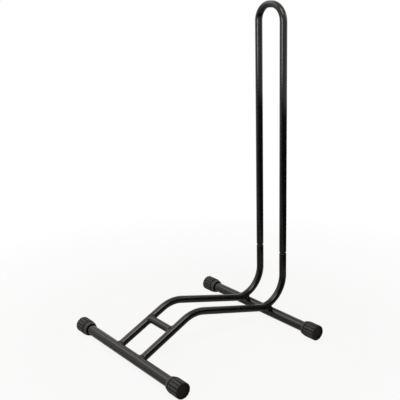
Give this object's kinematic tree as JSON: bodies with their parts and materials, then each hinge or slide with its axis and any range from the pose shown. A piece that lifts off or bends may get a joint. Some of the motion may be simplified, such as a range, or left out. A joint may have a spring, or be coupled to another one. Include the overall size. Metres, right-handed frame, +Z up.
{
  "type": "bicycle floor display stand",
  "caption": "Low bent-tube floor stand that holds a bicycle upright by one wheel, with ribbed push-on feet and a tall lift-off hoop.",
  "frame": {"origin": "on the floor, under the middle of the stand's box", "axes": "+X from the front cross tube along the rails to the hoop, +Y to the left, +Z up"},
  "size_m": [0.4234, 0.375, 0.7],
  "materials": {
    "powder_coat": "satin black powder coat over steel tube",
    "foot_plastic": "dark grey moulded soft plastic, matte with a smoother collar"
  },
  "bodies": {
    "base": {"front_cross_tube": "powder_coat", "rear_cross_tube": "powder_coat", "left_rail": "powder_coat", "right_rail": "powder_coat", "rail_spreader": "powder_coat", "front_left_weld": "powder_coat", "front_right_weld": "powder_coat", "spreader_left_weld": "powder_coat", "spreader_right_weld": "powder_coat", "rear_left_weld": "powder_coat", "rear_right_weld": "powder_coat", "front_left_foot": "foot_plastic", "front_right_foot": "foot_plastic", "rear_left_foot": "foot_plastic", "rear_right_foot": "foot_plastic"},
    "hoop": {"upper_hoop": "powder_coat"}
  },
  "joints": [
    {"name": "hoop_lift", "type": "slide", "parent": "base", "child": "hoop", "axis": [0, 0, 1], "range_m": [0, 0.05]}
  ]
}
